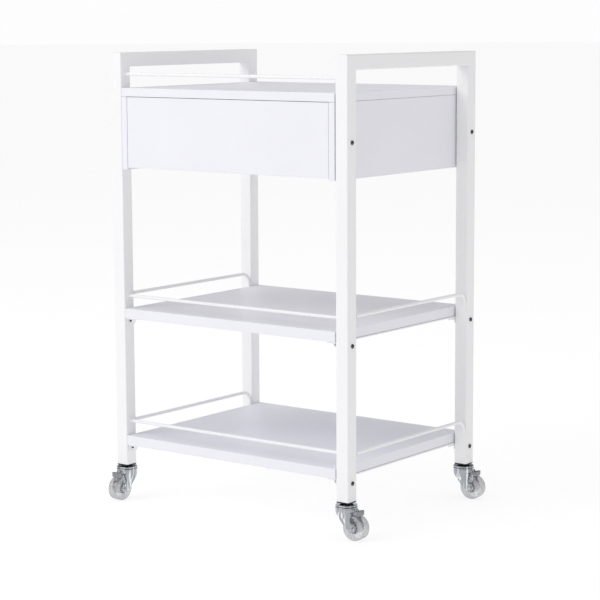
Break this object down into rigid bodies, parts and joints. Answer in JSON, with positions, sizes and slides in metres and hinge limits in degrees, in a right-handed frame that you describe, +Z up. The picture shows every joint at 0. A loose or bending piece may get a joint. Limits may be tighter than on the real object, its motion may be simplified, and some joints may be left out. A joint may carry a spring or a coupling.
{
  "type": "rolling salon trolley",
  "caption": "White tube-frame salon trolley with raised side handles, a handleless drawer box, railed shelves and swivel casters with wheel brakes.",
  "frame": {"origin": "centre of the trolley's footprint at floor level", "axes": "+X right along the drawer front, +Y from the drawer front to the back, +Z up"},
  "size_m": [0.5722, 0.4418, 0.8095],
  "materials": {
    "white_powder_coat": "satin white powder coat on steel",
    "white_board": "white melamine-faced board",
    "drawer_board": "white foil-wrapped board",
    "runner_steel": "plain plated steel",
    "black_plastic": "moulded black plastic",
    "zinc_plate": "bright zinc plate",
    "clear_wheel": "clear grey plastic",
    "pedal_metal": "dull grey plated steel",
    "dark_screw": "blackened steel"
  },
  "bodies": {
    "trolley": {"left_side_frame": "white_powder_coat", "right_side_frame": "white_powder_coat", "lower_front_rod": "white_powder_coat", "middle_front_rod": "white_powder_coat", "top_front_rod": "white_powder_coat", "lower_shelf_left_support": "white_powder_coat", "lower_shelf_right_support": "white_powder_coat", "middle_shelf_left_support": "white_powder_coat", "middle_shelf_right_support": "white_powder_coat", "top_board": "white_board", "lower_shelf": "white_board", "middle_shelf": "white_board", "box_left_side": "white_board", "box_right_side": "white_board", "box_back": "white_board", "box_left_runner": "runner_steel", "box_right_runner": "runner_steel", "front_left_lower_screw": "dark_screw", "front_left_middle_screw": "dark_screw", "front_left_top_screw": "dark_screw", "front_right_lower_screw": "dark_screw", "front_right_middle_screw": "dark_screw", "front_right_top_screw": "dark_screw", "rear_left_lower_screw": "dark_screw", "rear_left_middle_screw": "dark_screw", "rear_left_top_screw": "dark_screw", "rear_right_lower_screw": "dark_screw", "rear_right_middle_screw": "dark_screw", "rear_right_top_screw": "dark_screw", "front_left_plug": "black_plastic", "front_left_caster_stem": "zinc_plate", "front_right_plug": "black_plastic", "front_right_caster_stem": "zinc_plate", "rear_left_plug": "black_plastic", "rear_left_caster_stem": "zinc_plate", "rear_right_plug": "black_plastic", "rear_right_caster_stem": "zinc_plate"},
    "drawer": {"drawer_front": "white_board", "drawer_left_side": "drawer_board", "drawer_right_side": "drawer_board", "drawer_back": "drawer_board", "drawer_bottom": "drawer_board", "drawer_left_runner": "runner_steel", "drawer_right_runner": "runner_steel"},
    "front_left_caster": {"front_left_caster_fork": "zinc_plate", "front_left_caster_axle": "zinc_plate"},
    "front_left_wheel": {"front_left_caster_wheel": "clear_wheel"},
    "front_left_brake": {"front_left_brake_pedal": "pedal_metal"},
    "front_right_caster": {"front_right_caster_fork": "zinc_plate", "front_right_caster_axle": "zinc_plate"},
    "front_right_wheel": {"front_right_caster_wheel": "clear_wheel"},
    "front_right_brake": {"front_right_brake_pedal": "pedal_metal"},
    "rear_left_caster": {"rear_left_caster_fork": "zinc_plate", "rear_left_caster_axle": "zinc_plate"},
    "rear_left_wheel": {"rear_left_caster_wheel": "clear_wheel"},
    "rear_left_brake": {"rear_left_brake_pedal": "pedal_metal"},
    "rear_right_caster": {"rear_right_caster_fork": "zinc_plate", "rear_right_caster_axle": "zinc_plate"},
    "rear_right_wheel": {"rear_right_caster_wheel": "clear_wheel"},
    "rear_right_brake": {"rear_right_brake_pedal": "pedal_metal"}
  },
  "joints": [
    {"name": "drawer_slide", "type": "slide", "parent": "trolley", "child": "drawer", "axis": [0, -1, 0], "range_m": [0, 0.28]},
    {"name": "front_left_swivel", "type": "hinge", "parent": "trolley", "child": "front_left_caster", "pos_m": [-0.25068, -0.17944, 0.0645], "axis": [0, 0, 1], "continuous": true},
    {"name": "front_left_wheel_spin", "type": "hinge", "parent": "front_left_caster", "child": "front_left_wheel", "pos_m": [-0.25068, -0.19944, 0.0215], "axis": [1, 0, 0], "continuous": true},
    {"name": "front_left_brake_tilt", "type": "hinge", "parent": "front_left_caster", "child": "front_left_brake", "pos_m": [-0.25068, -0.19694, 0.0465], "axis": [1, 0, 0], "range_deg": [0, 6]},
    {"name": "front_right_swivel", "type": "hinge", "parent": "trolley", "child": "front_right_caster", "pos_m": [0.24432, -0.17944, 0.0645], "axis": [0, 0, 1], "continuous": true},
    {"name": "front_right_wheel_spin", "type": "hinge", "parent": "front_right_caster", "child": "front_right_wheel", "pos_m": [0.26432, -0.17944, 0.0215], "axis": [0, 1, 0], "continuous": true},
    {"name": "front_right_brake_tilt", "type": "hinge", "parent": "front_right_caster", "child": "front_right_brake", "pos_m": [0.26182, -0.17944, 0.0465], "axis": [0, 1, 0], "range_deg": [0, 6]},
    {"name": "rear_left_swivel", "type": "hinge", "parent": "trolley", "child": "rear_left_caster", "pos_m": [-0.25068, 0.18556, 0.0645], "axis": [0, 0, 1], "continuous": true},
    {"name": "rear_left_wheel_spin", "type": "hinge", "parent": "rear_left_caster", "child": "rear_left_wheel", "pos_m": [-0.26482, 0.1997, 0.0215], "axis": [-0.7071, -0.7071, 0], "continuous": true},
    {"name": "rear_left_brake_tilt", "type": "hinge", "parent": "rear_left_caster", "child": "rear_left_brake", "pos_m": [-0.26305, 0.19793, 0.0465], "axis": [-0.7071, -0.7071, 0], "range_deg": [0, 6]},
    {"name": "rear_right_swivel", "type": "hinge", "parent": "trolley", "child": "rear_right_caster", "pos_m": [0.24432, 0.18556, 0.0645], "axis": [0, 0, 1], "continuous": true},
    {"name": "rear_right_wheel_spin", "type": "hinge", "parent": "rear_right_caster", "child": "rear_right_wheel", "pos_m": [0.26431, 0.18626, 0.0215], "axis": [-0.0349, 0.9994, 0], "continuous": true},
    {"name": "rear_right_brake_tilt", "type": "hinge", "parent": "rear_right_caster", "child": "rear_right_brake", "pos_m": [0.26181, 0.18617, 0.0465], "axis": [-0.0349, 0.9994, 0], "range_deg": [0, 6]}
  ]
}
